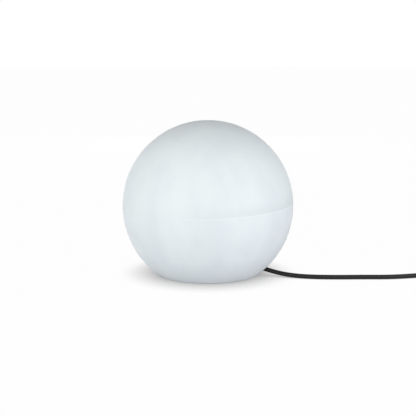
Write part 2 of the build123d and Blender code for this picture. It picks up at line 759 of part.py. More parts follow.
def bulb_housing():
    spigot_low = cap_top - HOUSING_SPIGOT_LENGTH
    spigot = THREAD_RADIUS - CAP_WALL - CAP_CLEARANCE
    cone_low = cap_top + HOUSING_NECK_LENGTH
    seat = led_board_low
    outside = lathe(
        (0, spigot_low),
        (spigot, spigot_low),
        (spigot, cap_top),
        (HOUSING_NECK_RADIUS, cap_top),
        (HOUSING_NECK_RADIUS, cone_low),
        (LAMP_JOINT_RADIUS, housing_top),
        (0, housing_top),
    )
    inside = lathe(
        (0, spigot_low),
        (spigot - HOUSING_WALL, spigot_low),
        (spigot - HOUSING_WALL, cone_low),
        (housing_radius(seat) - 2 * HOUSING_WALL, seat),
        (led_board_radius + LED_BOARD_CLEARANCE, seat),
        (led_board_radius + LED_BOARD_CLEARANCE, housing_top),
        (0, housing_top),
    )
    return outside - inside


def dome(radius, joint_radius, top, low):
    """The lamp's dome as a solid: a hemisphere on a skirt that draws in to its joint with the cone."""
    centre = top - radius
    skirt = TangentArc((radius, centre), (joint_radius, low), tangent=(0, -1))
    outline = [
        Line((0, low), (0, top)),
        RadiusArc((0, top), (radius, centre), radius),
        skirt,
        Line((joint_radius, low), (0, low)),
    ]
    return revolve(Plane.XZ * make_face(outline), Axis.Z)


def bulb_diffuser():
    outside = dome(LAMP_RADIUS, LAMP_JOINT_RADIUS, lamp_top, housing_top)
    inside = dome(
        LAMP_RADIUS - DIFFUSER_WALL, LAMP_JOINT_RADIUS - DIFFUSER_WALL, lamp_top - DIFFUSER_WALL, housing_top
    )
    return outside - inside


def led_board():
    return rod(led_board_radius, led_board_low, housing_top)


def led_chips():
    chip = Pos(0, 0, housing_top) * Box(CHIP_LENGTH, CHIP_WIDTH, CHIP_HEIGHT, align=UP)
    return group(place * chip for place in around(CHIP_CIRCLE, CHIP_COUNT, 0))


def driver_board():
    low = led_board_low - DRIVER_LENGTH
    return Pos(0, 0, low) * Box(DRIVER_THICKNESS, DRIVER_WIDTH, DRIVER_LENGTH, align=UP)


def driver_capacitor():
    aside = DRIVER_THICKNESS / 2 + CAPACITOR_RADIUS
    top = led_board_low - CAPACITOR_DROP
    return Pos(aside, 0, 0) * rod(CAPACITOR_RADIUS, top - CAPACITOR_LENGTH, top)


# The cord outside the globe

exit_way = Vector(1, 0, 0).rotate(Axis.Z, CABLE_AZIMUTH)
coil_entry = Vector(COIL_CENTRE_X - CORD_DIAMETER, COIL_CENTRE_Y - COIL_RADIUS, coil_floor)
CORD_POINTS = [
    exit_way * cord_exit + Vector(0, 0, inlet_height),
    exit_way * (cord_exit + CORD_EXIT_RUN) + Vector(0, 0, inlet_height),
    Vector(119, -33.8, 6.6),
    Vector(146, -44.5, cord_radius),
    Vector(176, -55.0, cord_radius),
    Vector(218, -58.2, cord_radius),
    Vector(268, -56.3, cord_radius),
    Vector(312, -57.0, cord_radius),
    Vector(352, -48.5, cord_radius),
    Vector(392, coil_entry.Y, coil_entry.Z),
    coil_entry,
]


def corner_radii(points):
    """As large an arc at each corner of a route as its two runs allow."""
    radii = []
    for before, here, after in zip(points, points[1:], points[2:]):
        arriving, leaving = here - before, after - here
        half_turn = math.radians(arriving.get_angle(leaving) / 2)
        radii.append(BEND_SHARE * min(arriving.length, leaving.length) / math.tan(half_turn))
    return radii


def coil_centre_line():
    """The coil's arcs: half turns that spiral in and out, and climb a layer where the spiral reverses."""
    edges = []
    last = COIL_LAYERS * COIL_HALF_TURNS
    radius = COIL_RADIUS
    centre = 0.0
    level = coil_floor
    for k in range(last + 1):
        inset = COIL_HALF_TURNS - abs(COIL_HALF_TURNS - k % (2 * COIL_HALF_TURNS))
        side = 1 if k % 2 == 0 else -1
        smaller = COIL_RADIUS - inset * coil_pitch / 2
        centre += side * (radius - smaller)
        radius = smaller
        climbs = 0 < k < last and k % COIL_HALF_TURNS == 0
        rise = coil_pitch if climbs else 0
        reach = math.hypot(radius, rise / 2)
        start = (centre + side * radius, 0, level)
        middle = (centre, side * reach, level + rise / 2)
        end = (centre - side * radius, 0, level + rise)
        if k == last:
            corner = radius * math.sqrt(0.5)
            end = middle
            middle = (centre + corner, corner, level)
        edges.append(ThreePointArc(start, middle, end))
        level += rise
    turned = Pos(COIL_CENTRE_X, COIL_CENTRE_Y, 0) * Rot(0, 0, -90)
    arcs = [turned * edge for edge in edges]
    entry, leaving = arcs[0] @ 0, arcs[-1] @ 1
    lead_in = Line(entry - (arcs[0] % 0) * CORD_DIAMETER, entry)
    lead_out = Line(leaving, leaving + (arcs[-1] % 1) * CORD_DIAMETER)
    return Wire([lead_in.edge(), *[arc.edge() for arc in arcs], lead_out.edge()])


coil_line = coil_centre_line()
coil_exit = coil_line @ 1
plug_way = Vector(1, 0, 0).rotate(Axis.Z, PLUG_HEADING)
tail_end = Vector(coil_exit.X - TAIL_SHIFT, coil_exit.Y + TAIL_REACH, PLUG_FLAT)
TAIL_POINTS = [
    coil_exit,
    coil_exit + Vector(0, TAIL_END_RUN, 0),
    tail_end - plug_way * TAIL_END_RUN,
    tail_end,
]


def power_cord():
    return tube(FilletPolyline(*CORD_POINTS, radius=corner_radii(CORD_POINTS)), cord_radius)


def plug_tail():
    return tube(FilletPolyline(*TAIL_POINTS, radius=corner_radii(TAIL_POINTS)), cord_radius)


def cord_coil():
    return tube(coil_line, cord_radius)


def cord_tie():
    """A strap round the turns on the side of the coil nearest to the globe."""
    inner_turn = COIL_RADIUS - (COIL_HALF_TURNS - 1) * coil_pitch / 2
    curve = (TIE_WIDTH / 2 + coil_pitch / 2) ** 2 / (2 * inner_turn)
    columns = COIL_HALF_TURNS // 2
    outside = COIL_CENTRE_X - (COIL_RADIUS - coil_pitch / 2) - cord_radius - TIE_CLEARANCE
    width = (columns - 1) * coil_pitch + CORD_DIAMETER + curve + 2 * TIE_CLEARANCE
    height = (COIL_LAYERS - 1) * coil_pitch + CORD_DIAMETER + 2 * TIE_CLEARANCE
    corner = cord_radius
    middle = Plane(
        origin=(outside + width / 2, COIL_CENTRE_Y, TIE_THICKNESS + height / 2),
        x_dir=(1, 0, 0),
        z_dir=(0, -1, 0),
    )
    outer = RectangleRounded(width + 2 * TIE_THICKNESS, height + 2 * TIE_THICKNESS, corner)
    loop = outer - RectangleRounded(width, height, corner - TIE_THICKNESS)
    band = extrude(middle * loop, TIE_WIDTH / 2, both=True)
    tab = Pos(outside + width / 2, COIL_CENTRE_Y, height + 2 * TIE_THICKNESS) * Box(
        TIE_TAB_LENGTH, TIE_WIDTH, TIE_THICKNESS, align=UP
    )
    return band + tab


# The plug, built along +Z from the tip of its boot


def lay_plug(shape):
    """Lays the plug down behind the coil, with its two pins side by side."""
    flat = Plane(origin=tail_end, x_dir=(0, 0, 1), z_dir=plug_way)
    return flat.location * shape


def plug_body():
    boot = lathe((0, 0), (BOOT_TIP_RADIUS, 0), (BOOT_WIDE_RADIUS, BOOT_LENGTH), (0, BOOT_LENGTH))
    spacing = BOOT_LENGTH / (BOOT_GROOVE_COUNT + 1)
    for i in range(BOOT_GROOVE_COUNT):
        level = spacing * (i + 0.6)
        radius = BOOT_TIP_RADIUS + (BOOT_WIDE_RADIUS - BOOT_TIP_RADIUS) * level / BOOT_LENGTH
        boot -= ring(BOOT_WIDE_RADIUS + 1, radius - BOOT_GROOVE_DEPTH, level, level + BOOT_GROOVE_WIDTH)
    grip_end = RectangleRounded(PLUG_GRIP_HEIGHT, PLUG_GRIP_WIDTH, PLUG_GRIP_CORNER)
    grip = loft([Pos(0, 0, BOOT_LENGTH) * Circle(BOOT_WIDE_RADIUS), Pos(0, 0, face_low) * grip_end])
    face = rod(PLUG_RADIUS, face_low, face_top)
    face &= Pos(0, 0, face_low) * Box(2 * PLUG_FLAT, 2 * PLUG_RADIUS, PLUG_FACE_LENGTH, align=UP)
    for side in (-1, 1):
        face -= Pos(side * PLUG_FLAT, 0, face_low) * Box(
            2 * PLUG_NOTCH_DEPTH, PLUG_NOTCH_WIDTH, PLUG_FACE_LENGTH, align=UP
        )
    body = boot + grip + face
    body -= plug_insert_shape(THREADED_CLEARANCE)
    for side in (-1, 1):
        body -= Pos(0, side * PIN_SPACING / 2, 0) * rod(PIN_ROOT_RADIUS, face_top - PIN_ROOT, face_top)
    return lay_plug(body)


def plug_insert_shape(extra):
    """The hard disc let into the plug's front."""
    disc = rod(PLUG_INSERT_RADIUS + extra, face_top - PLUG_INSERT_DEPTH, face_top)
    half = PLUG_FLAT - PLUG_NOTCH_DEPTH - PLUG_INSERT_WALL + extra
    return disc & Pos(0, 0, face_top - PLUG_INSERT_DEPTH) * Box(
        2 * half, 4 * PLUG_RADIUS, PLUG_INSERT_DEPTH, align=UP
    )


def plug_face():
    face = plug_insert_shape(0)
    for side in (-1, 1):
        hole = rod(PIN_ROOT_RADIUS, face_top - PLUG_INSERT_DEPTH, face_top)
        face -= Pos(0, side * PIN_SPACING / 2, 0) * hole
    return lay_plug(face)


def plug_pins():
    pin = rod(PIN_RADIUS, face_top, face_top + PIN_LENGTH)
    pin = chamfer(pin.edges().filter_by(GeomType.CIRCLE).sort_by(Axis.Z)[-1], PIN_TIP_CHAMFER)
    pin += rod(PIN_ROOT_RADIUS, face_top - PIN_ROOT, face_top)
    return group(lay_plug(Pos(0, side * PIN_SPACING / 2, 0) * pin) for side in (-1, 1))


def least_self_gap(line, radius, step):
    """The smallest gap between a wound tube and itself, measured on points along its centre line."""
    count = int(line.length / step)
    points = [line @ (i / count) for i in range(count + 1)]
    apart = int(4 * math.pi * radius / step)
    least = min(
        (points[i] - points[j]).length
        for i in range(len(points))
        for j in range(i + apart, len(points))
    )
    return least - 2 * radius


MAKERS = {
    "globe_shell": globe_shell,
    "thread_inserts": thread_inserts,
    "lamp_carrier": lamp_carrier,
    "carrier_gasket": carrier_gasket,
    "carrier_screws": carrier_screws,
    "rubber_feet": rubber_feet,
    "holder_plate": holder_plate,
    "plate_screws": plate_screws,
    "nipple_tube": nipple_tube,
    "nipple_nut": nipple_nut,
    "lampholder_body": lampholder_body,
    "lampholder_insulator": lampholder_insulator,
    "terminal_blocks": terminal_blocks,
    "terminal_screws": terminal_screws,
    "lampholder_screw_shell": lampholder_screw_shell,
    "lampholder_centre_contact": lampholder_centre_contact,
    "conductor_brown": lambda: conductor(-1),
    "conductor_blue": lambda: conductor(1),
    "gland_body": gland_body,
    "gland_locknut": gland_locknut,
    "gland_washer": gland_washer,
    "gland_seal": gland_seal,
    "gland_nut": gland_nut,
    "cord_inner_end": cord_inner_end,
    "cord_clamp": cord_clamp,
    "clamp_screws": clamp_screws,
    "bulb_seal": bulb_seal,
    "bulb_screw_cap": bulb_screw_cap,
    "bulb_cap_insulator": bulb_cap_insulator,
    "bulb_centre_contact": bulb_centre_contact,
    "bulb_housing": bulb_housing,
    "bulb_diffuser": bulb_diffuser,
    "led_board": led_board,
    "led_chips": led_chips,
    "driver_board": driver_board,
    "driver_capacitor": driver_capacitor,
    "power_cord": power_cord,
    "cord_coil": cord_coil,
    "cord_tie": cord_tie,
    "plug_tail": plug_tail,
    "plug_body": plug_body,
    "plug_face": plug_face,
    "plug_pins": plug_pins,
}


def compare_volume(node, solid, length):
    """Prints a tube's length, and its volume as a share of its section times that length."""
    share = solid.volume / (length * math.pi * cord_radius**2)
    print(f"{node}: length {length:.0f}, volume share {share:.6f}")


built = {}
for node, make in MAKERS.items():
    built[node] = make()
    export_step(built[node], f"parts/{node}.step")

for node, points in (("power_cord", CORD_POINTS), ("plug_tail", TAIL_POINTS)):
    radii = corner_radii(points)
    compare_volume(node, built[node], FilletPolyline(*points, radius=radii).length)
    print("  bend radii", [round(radius) for radius in radii])
    print("  runs", [round((after - before).length) for before, after in zip(points, points[1:])])
compare_volume("cord_coil", built["cord_coil"], coil_line.length)
print(f"  least gap of the coil to itself {least_self_gap(coil_line, cord_radius, GAP_STEP):.2f}")
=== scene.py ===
"""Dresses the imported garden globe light: finishes, cord and tie, and the studio it is shown in.

Lengths are metres. +Z is up, the cord leaves on the right, +X, and the picture is taken from the front, -Y.
"""

from __future__ import annotations

import json
import logging
import math
from dataclasses import dataclass, field
from enum import Enum

import bmesh
import bpy
from mathutils import Matrix, Vector


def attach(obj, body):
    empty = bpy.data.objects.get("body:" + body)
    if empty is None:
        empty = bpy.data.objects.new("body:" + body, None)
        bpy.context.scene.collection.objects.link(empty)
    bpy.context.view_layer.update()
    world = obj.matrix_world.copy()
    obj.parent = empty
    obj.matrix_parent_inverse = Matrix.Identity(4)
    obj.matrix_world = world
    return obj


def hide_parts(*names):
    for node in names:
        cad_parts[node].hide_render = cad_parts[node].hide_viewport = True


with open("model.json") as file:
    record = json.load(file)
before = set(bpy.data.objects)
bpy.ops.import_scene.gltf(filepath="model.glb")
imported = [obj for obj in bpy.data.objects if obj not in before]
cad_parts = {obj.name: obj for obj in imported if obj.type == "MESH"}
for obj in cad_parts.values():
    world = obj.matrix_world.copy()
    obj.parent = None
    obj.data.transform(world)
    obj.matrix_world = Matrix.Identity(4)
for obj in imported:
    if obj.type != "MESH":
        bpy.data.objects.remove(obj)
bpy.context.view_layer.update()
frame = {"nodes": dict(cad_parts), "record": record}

log = logging.getLogger("globe_light")

Colour = tuple[float, float, float]
Point = tuple[float, float, float]

MM = 0.001
WHITE: Colour = (1.0, 1.0, 1.0)
WHITE_BLEED: Colour = (0.006, 0.0065, 0.007)


# Shader maths


class Value:
    """A shader socket or a number. Expressions on values add Math nodes."""

    def __init__(self, graph: "Graph", source: bpy.types.NodeSocket | float) -> None:
        """Wraps a socket or a number.

        Args:
            graph: the graph that new nodes go into.
            source: a socket of one of its nodes, or a number.
        """
        self.graph = graph
        self.source = source

    def math(self, operation: str, *others: "Value | float") -> "Value":
        """Adds a Math node.

        Args:
            operation: the Math node's operation.
            others: its second and third inputs.

        Returns:
            The node's output.
        """
        inputs = {index: item for index, item in enumerate((self, *others))}
        return self.graph.node("ShaderNodeMath", {"operation": operation}, inputs)

    def __add__(self, other: "Value | float") -> "Value":
        """Sum."""
        return self.math("ADD", other)

    __radd__ = __add__

    def __mul__(self, other: "Value | float") -> "Value":
        """Product."""
        return self.math("MULTIPLY", other)

    __rmul__ = __mul__

    def __sub__(self, other: "Value | float") -> "Value":
        """Difference."""
        return self.math("SUBTRACT", other)

    def __rsub__(self, other: "Value | float") -> "Value":
        """Difference the other way round."""
        return Value(self.graph, other).math("SUBTRACT", self)

    def between(self, low: float, high: float) -> "Value":
        """Runs smoothly from 0 at low to 1 at high.

        Args:
            low: the value that gives 0.
            high: the value that gives 1.

        Returns:
            The eased share.
        """
        settings = {"interpolation_type": "SMOOTHSTEP"}
        inputs = {"Value": self, "From Min": low, "From Max": high}
        return self.graph.node("ShaderNodeMapRange", settings, inputs)


class Graph:
    """One material's nodes."""

    def __init__(self, name: str) -> None:
        """Starts a material with no nodes but its output.

        Args:
            name: the material's name.
        """
        self.material = bpy.data.materials.new(name)
        self.material.use_nodes = True
        self.tree = self.material.node_tree
        self.tree.nodes.clear()
        self.output = self.tree.nodes.new("ShaderNodeOutputMaterial")

    def node(
        self,
        kind: str,
        settings: dict[str, object] | None = None,
        inputs: dict[int | str, object] | None = None,
        output: int | str = 0,
    ) -> Value:
        """Adds a node, sets it up and feeds it.

        Args:
            kind: the node's type.
            settings: its properties, which are set first.
            inputs: a number, vector, colour or Value for each socket, by name or place.
            output: the output that is wanted.

        Returns:
            That output.
        """
        added = self.tree.nodes.new(kind)
        for key, setting in (settings or {}).items():
            setattr(added, key, setting)
        for key, item in (inputs or {}).items():
            socket = added.inputs[key]
            item = item.source if isinstance(item, Value) else item
            if isinstance(item, bpy.types.NodeSocket):
                self.tree.links.new(item, socket)
            else:
                socket.default_value = self.fitted(item, socket)
        return Value(self, added.outputs[output])

    @staticmethod
    def fitted(item: float | tuple, socket: bpy.types.NodeSocket) -> float | tuple:
        """Gives a colour its alpha where a socket wants one.

        Args:
            item: a number, vector or colour.
            socket: the socket that it is for.

        Returns:
            The item as the socket takes it.
        """
        wants_alpha = socket.type == "RGBA" and isinstance(item, tuple) and len(item) == 3
        return (*item, 1.0) if wants_alpha else item

    def place(self, stretch: Point = (1.0, 1.0, 1.0)) -> Value:
        """Object coordinates.

        Args:
            stretch: how much finer a pattern gets along each axis.

        Returns:
            The scaled coordinates.
        """
        raw = self.node("ShaderNodeTexCoord", output="Object")
        if stretch == (1.0, 1.0, 1.0):
            return raw
        return self.node("ShaderNodeMapping", inputs={"Vector": raw, "Scale": stretch})

    def axes(self) -> tuple[Value, Value, Value]:
        """The object coordinates, one by one."""
        outputs = self.node("ShaderNodeSeparateXYZ", inputs={"Vector": self.place()}).source.node.outputs
        return Value(self, outputs["X"]), Value(self, outputs["Y"]), Value(self, outputs["Z"])

    def noise(self, place: Value, size: float, detail: float = 2.0, rough: float = 0.5) -> Value:
        """Soft noise.

        Args:
            place: the coordinates.
            size: how far apart its patches are.
            detail: its finer layers.
            rough: how strong they are.

        Returns:
            A value about one half.
        """
        inputs = {"Vector": place, "Scale": 1.0 / size, "Detail": detail, "Roughness": rough}
        return self.node("ShaderNodeTexNoise", {"normalize": True}, inputs)

    def cells(self, place: Value, size: float, feature: str = "F1", output: str = "Distance") -> Value:
        """Voronoi cells.

        Args:
            place: the coordinates.
            size: how far apart the cells are.
            feature: the texture's feature.
            output: the output that is wanted.

        Returns:
            The distance or value in each cell.
        """
        inputs = {"Vector": place, "Scale": 1.0 / size}
        return self.node("ShaderNodeTexVoronoi", {"feature": feature}, inputs, output)

    def blend(self, share: Value | float, first: object, second: object) -> Value:
        """Mixes two colours.

        Args:
            share: how much of the second.
            first: a colour or a Value.
            second: a colour or a Value.

        Returns:
            The mixed colour.
        """
        inputs = {0: share, 6: first, 7: second}
        return self.node("ShaderNodeMix", {"data_type": "RGBA"}, inputs, output=2)

    def bump(self, height: Value, edge: float = 0.0) -> Value:
        """Turns a height in metres into a bent normal.

        Args:
            height: the height over the surface.
            edge: the radius that edges look rounded to, or 0 to leave them.

        Returns:
            The normal.
        """
        inputs: dict[int | str, object] = {"Height": height, "Distance": 1.0, "Strength": 1.0}
        if edge:
            inputs["Normal"] = self.node("ShaderNodeBevel", {"samples": 4}, {"Radius": edge})
        return self.node("ShaderNodeBump", inputs=inputs)

    def finish(self, **sockets: object) -> bpy.types.Material:
        """Adds the shader and ends the material.

        Args:
            sockets: the shader's inputs, with underscores for spaces.

        Returns:
            The material.
        """
        inputs = {name.replace("_", " "): item for name, item in sockets.items()}
        shader = self.node("ShaderNodeBsdfPrincipled", inputs=inputs)
        self.tree.links.new(shader.source, self.output.inputs["Surface"])
        return self.material


# Finishes


@dataclass(frozen=True)
class Moulded:
    """Moulded plastic or rubber: a drifting tone, a drifting gloss and a fine grain in the mould."""

    colour: Colour
    drift: Colour
    roughness: float
    drift_size: float = 30 * MM
    spread: float = 0.06
    grain: float = 0.5 * MM
    depth: float = 0.006 * MM
    specular: float = 0.5
    edge: float = 0.3 * MM
    bleed: float = 0.0
    reach: Colour = (0.01, 0.01, 0.01)
    drift_range: tuple[float, float] = (0.3, 0.7)
    coarser: float = 8.0

    def material(self, name: str) -> bpy.types.Material:
        """Writes the material.

        Args:
            name: the material's name.

        Returns:
            The material.
        """
        graph = Graph(name)
        place = graph.place()
        patches = graph.noise(place, self.drift_size, detail=3.0)
        grain = graph.noise(place, self.grain)
        coarse = graph.noise(place, self.coarser * self.grain, detail=1.0)
        tone = graph.blend(patches.between(*self.drift_range), self.colour, self.drift)
        rough = self.roughness + (patches - 0.5) * 2 * self.spread + (grain - 0.5) * self.spread
        height = grain * self.depth + coarse * 2 * self.depth
        return graph.finish(
            Base_Color=tone,
            Roughness=rough,
            Specular_IOR_Level=self.specular,
            Subsurface_Weight=self.bleed,
            Subsurface_Radius=self.reach,
            Subsurface_Scale=1.0,
            Normal=graph.bump(height, self.edge),
        )


@dataclass(frozen=True)
class GlobeSkin:
    """Rotation-moulded polyethylene: clouds in its tone, faint upright flow bands and the parting line,
    with painted light: a lower half painted lighter and bluer, painted shade towards the foot, and a
    painted shadow above the parting line and a painted highlight on it, both strongest on the right.
    """

    upper: Colour = (0.824, 0.896, 0.928)
    # painted light: the lower half is painted lighter and bluer than the upper, as the light falls on it
    painted_light_lower: Colour = (0.843, 0.906, 0.952)
    # painted shade: the globe is painted darker towards the foot, up to foot_height above the ground
    foot_shade: Colour = (0.72, 0.76, 0.79)
    cloud: Colour = (0.755, 0.815, 0.872)
    # the parting line's lighter colour: its own lighter plastic all round, and a painted highlight towards
    # the right
    line: Colour = (0.88, 0.935, 0.96)
    # painted shadow: the darker band just above the parting line, under its ridge
    shade: Colour = (0.7, 0.765, 0.81)
    centre_height: float = 120 * MM
    tilt: float = 2.2
    foot_height: float = 52 * MM
    line_width: float = 2.3 * MM
    shade_height: float = 26 * MM
    half_blend: float = 12 * MM
    cloud_size: float = 70 * MM
    band_size: float = 34 * MM
    band_stretch: Point = (1.0, 1.0, 0.12)
    cloud_range: tuple[float, float] = (0.4, 0.65)
    cloud_share: float = 0.45
    foot_share: float = 0.9
    # the side of the globe that the light catches, from fade_from to fade_to across
    fade_from: float = -60 * MM
    fade_to: float = 90 * MM
    shade_share: float = 0.42
    line_highlight_share: float = 0.4
    line_least: float = 0.08
    line_core: float = 0.2
    grain: float = 0.5 * MM
    grain_depth: float = 0.004 * MM
    ripple: float = 9 * MM
    ripple_depth: float = 0.02 * MM
    roughness: float = 0.5
    cloud_gloss: float = 0.08
    grain_gloss: float = 0.04
    specular: float = 0.06
    bleed: float = 0.3
    reach: Colour = WHITE_BLEED

    def places(self, graph: Graph) -> tuple[Value, Value, Value]:
        """Measures where a point of the surface lies.

        Args:
            graph: the material's graph.

        Returns:
            How far it lies above the parting line, to the right, and above the ground.
        """
        across, _, level = graph.axes()
        turn = math.radians(self.tilt)
        return (level - self.centre_height) * math.cos(turn) - across * math.sin(turn), across, level

    def material(self, name: str) -> bpy.types.Material:
        """Writes the material.

        Args:
            name: the material's name.

        Returns:
            The material.
        """
        graph = Graph(name)
        above, across, level = self.places(graph)
        clouds = graph.noise(graph.place(), self.cloud_size, detail=3.0, rough=0.55)
        bands = graph.noise(graph.place(self.band_stretch), self.band_size)
        grain = graph.noise(graph.place(), self.grain)
        ripple = graph.noise(graph.place(), self.ripple)
        drift = (clouds * 0.5 + bands * 0.5).between(*self.cloud_range)
        # painted shade towards the foot: full at the ground, none from foot_height up
        foot_shade_mask = 1 - level.between(0.0, self.foot_height)
        # painted light: runs from none on the left to full on the right, and scales the painted shadow and
        # painted highlight of the parting line
        clear = across.between(self.fade_from, self.fade_to)
        # painted shadow above the parting line, from the line's width up to shade_height
        seam_shadow_mask = above.between(0.0, self.line_width) * (1 - above.between(0.0, self.shade_height))
        line = 1 - above.math("ABSOLUTE").between(self.line_core * self.line_width, self.line_width)
        # painted light: below the parting line the globe takes the lighter, bluer colour
        tone = graph.blend(above.between(-self.half_blend, self.half_blend), self.painted_light_lower, self.upper)
        tone = graph.blend(drift * self.cloud_share, tone, self.cloud)
        # painted shade towards the foot
        tone = graph.blend(foot_shade_mask * self.foot_share, tone, self.foot_shade)
        # painted shadow above the parting line, strongest on the right
        tone = graph.blend(seam_shadow_mask * clear * self.shade_share, tone, self.shade)
        # the parting line: line_least of its own lighter plastic all round, plus a painted highlight that
        # grows towards the right
        tone = graph.blend(line * (clear * self.line_highlight_share + self.line_least), tone, self.line)
        rough = self.roughness + (clouds - 0.5) * self.cloud_gloss + (grain - 0.5) * self.grain_gloss
        height = grain * self.grain_depth + ripple * self.ripple_depth
        return graph.finish(
            Base_Color=tone,
            Roughness=rough,
            Specular_IOR_Level=self.specular,
            Subsurface_Weight=self.bleed,
            Subsurface_Radius=self.reach,
            Subsurface_Scale=1.0,
            Normal=graph.bump(height),
        )


class Making(Enum):
    """How a metal's surface was left."""

    TURNED = "turned"
    ROLLED = "rolled"
    PLATED = "plated"


@dataclass(frozen=True)
class Thread:
    """The thread on the upright screws that stand outside a radius, above a level."""

    pitch: float
    radius: float
    level: float
    slope: float = 1.2

    def height(self, graph: Graph) -> Value:
        """Draws the thread.

        Args:
            graph: the material's graph.

        Returns:
            How proud the thread stands, which is nothing elsewhere.
        """
        across, along, level = graph.axes()
        outside = (across * across + along * along).math("GREATER_THAN", self.radius**2)
        shown = outside * level.math("GREATER_THAN", self.level)
        return level.math("PINGPONG", self.pitch / 2) * self.slope * shown


@dataclass(frozen=True)
class Metal:
    """Bare or plated metal with the marks of its making."""

    colour: Colour
    shade: Colour
    roughness: float
    making: Making = Making.TURNED
    mark: float = 0.12 * MM
    depth: float = 0.003 * MM
    edge: float = 0.15 * MM
    streak: float = 0.04
    crystal: float = 30.0
    tarnish_size: float = 6 * MM
    tarnish_range: tuple[float, float] = (0.35, 0.75)
    mark_gloss: float = 0.14
    tarnish_gloss: float = 0.1
    thread: Thread | None = None

    def marks(self, graph: Graph) -> Value:
        """Draws the marks of the metal's making.

        Args:
            graph: the material's graph.

        Returns:
            Their pattern, from 0 to 1.
        """
        if self.making is Making.PLATED:
            return graph.cells(graph.place(), self.crystal * self.mark, output="Color")
        turned = self.making is Making.TURNED
        stretch = (self.streak, self.streak, 1.0) if turned else (1.0, self.streak, 1.0)
        return graph.noise(graph.place(stretch), self.mark, detail=3.0, rough=0.6)

    def material(self, name: str) -> bpy.types.Material:
        """Writes the material.

        Args:
            name: the material's name.

        Returns:
            The material.
        """
        graph = Graph(name)
        marks = self.marks(graph)
        fine = graph.noise(graph.place(), self.mark)
        tarnish = graph.noise(graph.place(), self.tarnish_size, detail=3.0)
        tone = graph.blend(tarnish.between(*self.tarnish_range), self.colour, self.shade)
        rough = self.roughness + (marks - 0.5) * self.mark_gloss + (tarnish - 0.5) * self.tarnish_gloss
        height = (marks + fine) * self.depth
        if self.thread:
            height += self.thread.height(graph)
        return graph.finish(
            Base_Color=tone,
            Metallic=1.0,
            Roughness=rough,
            Normal=graph.bump(height, self.edge),
        )


@dataclass(frozen=True)
class Foam:
    """Closed-cell foam rubber with its cut pores, which are painted darker as shade."""

    colour: Colour
    pore: float = 0.7 * MM
    depth: float = 0.12 * MM
    wall_range: tuple[float, float] = (0.1, 0.55)
    pore_shade: float = 0.4
    pore_roughness: float = 0.92
    wall_roughness: float = 0.86

    def material(self, name: str) -> bpy.types.Material:
        """Writes the material.

        Args:
            name: the material's name.

        Returns:
            The material.
        """
        graph = Graph(name)
        cell = graph.cells(graph.place(), self.pore)
        wall = cell.between(*self.wall_range)
        # painted shade: the pores are drawn darker than the walls between them
        tone = graph.blend(wall, tuple(self.pore_shade * part for part in self.colour), self.colour)
        return graph.finish(
            Base_Color=tone,
            Roughness=self.pore_roughness - wall * (self.pore_roughness - self.wall_roughness),
            Normal=graph.bump(wall * self.depth),
        )


@dataclass(frozen=True)
class Webbing:
    """Black woven strap with a napped face."""

    colour: Colour
    light: Colour
    thread: float = 0.55 * MM
    depth: float = 0.1 * MM
    nap_size: float = 0.25
    tone_range: tuple[float, float] = (0.2, 0.9)
    roughness: float = 0.95
    nap_gloss: float = 0.1
    sheen: float = 0.35
    sheen_roughness: float = 0.5

    def material(self, name: str) -> bpy.types.Material:
        """Writes the material.

        Args:
            name: the material's name.

        Returns:
            The material.
        """
        graph = Graph(name)
        along, across, upward = graph.axes()
        turn = 2 * math.pi / self.thread
        weft = (across * turn).math("SINE")
        warp = ((along + upward) * turn).math("SINE")
        weave = (weft * warp) * 0.5 + 0.5
        nap = graph.noise(graph.place(), self.nap_size * self.thread, detail=3.0, rough=0.7)
        share = weave * 0.5 + nap * 0.5
        return graph.finish(
            Base_Color=graph.blend(share.between(*self.tone_range), self.colour, self.light),
            Roughness=self.roughness - nap * self.nap_gloss,
            Sheen_Weight=self.sheen,
            Sheen_Roughness=self.sheen_roughness,
            Normal=graph.bump(share * self.depth),
        )


@dataclass(frozen=True)
class CircuitBoard:
    """Green resist over copper tracks."""

    resist: Colour
    track: Colour
    pitch: float = 2.5 * MM
    gap_range: tuple[float, float] = (0.05, 0.09)
    blotch_size: float = 4 * MM
    blotch_share: float = 0.25
    roughness: float = 0.3
    blotch_gloss: float = 0.15
    coat: float = 0.3
    depth: float = 0.03 * MM

    def material(self, name: str) -> bpy.types.Material:
        """Writes the material.

        Args:
            name: the material's name.

        Returns:
            The material.
        """
        graph = Graph(name)
        place = graph.place()
        edge = graph.cells(place, self.pitch, feature="DISTANCE_TO_EDGE")
        gap = edge.between(*self.gap_range)
        blotch = graph.noise(place, self.blotch_size)
        tone = graph.blend(gap, self.resist, self.track)
        tone = graph.blend(blotch * self.blotch_share, tone, self.resist)
        return graph.finish(
            Base_Color=tone,
            Roughness=self.roughness + blotch * self.blotch_gloss,
            Coat_Weight=self.coat,
            Normal=graph.bump(gap * self.depth),
        )


